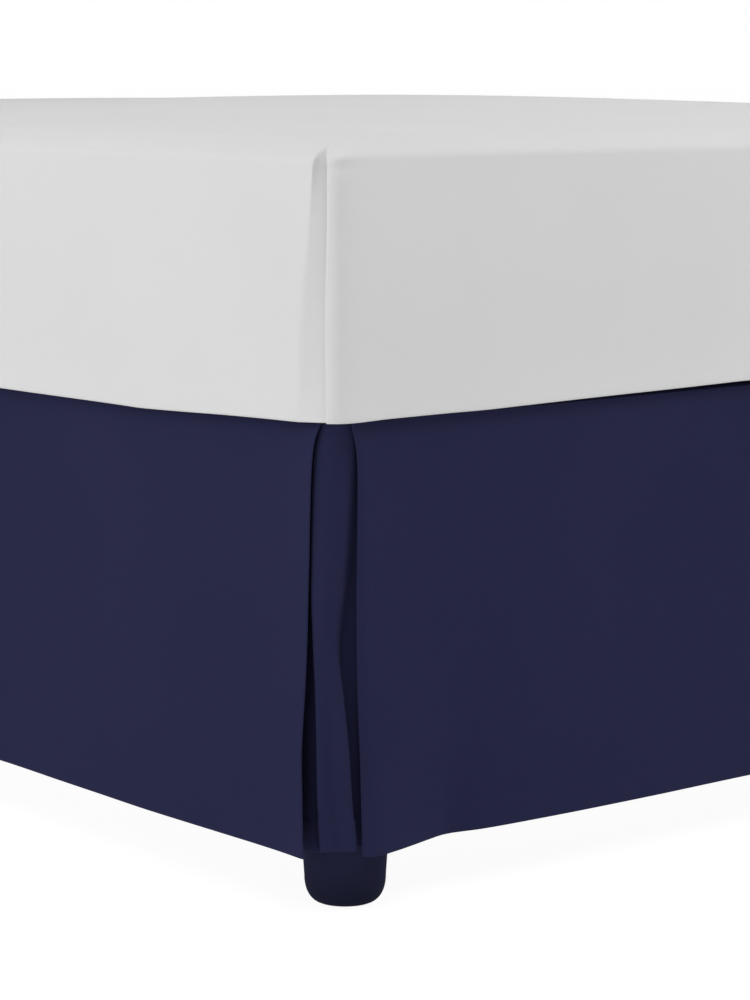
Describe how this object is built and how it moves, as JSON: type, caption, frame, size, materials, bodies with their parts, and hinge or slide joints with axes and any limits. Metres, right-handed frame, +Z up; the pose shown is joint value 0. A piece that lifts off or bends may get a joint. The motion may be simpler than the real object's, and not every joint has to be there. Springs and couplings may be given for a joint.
{
  "type": "bed skirt on a bed",
  "caption": "Tailored navy bed skirt with flat panels, split corners and corner inserts, hanging round a box base on round legs under a white covered mattress.",
  "frame": {"origin": "on the floor under the middle of the whole object", "axes": "+Z up; the bed lies along Y with its foot end towards -Y and its open head end towards +Y"},
  "size_m": [1.557, 2.0384, 0.6446],
  "materials": {
    "skirt_cloth": "matt plain-weave navy cotton and polyester cloth",
    "mattress_cover": "matt white knitted mattress cover",
    "base_cloth": "off-white woven ticking",
    "leg": "matt dark navy paint"
  },
  "bodies": {
    "root": {"mattress": "mattress_cover", "box_base": "base_cloth", "deck": "skirt_cloth", "side_panel_left": "skirt_cloth", "side_panel_right": "skirt_cloth", "foot_panel": "skirt_cloth", "corner_insert_left": "skirt_cloth", "corner_insert_right": "skirt_cloth", "leg_foot_left": "leg", "leg_foot_right": "leg", "leg_head_left": "leg", "leg_head_right": "leg"}
  },
  "joints": []
}
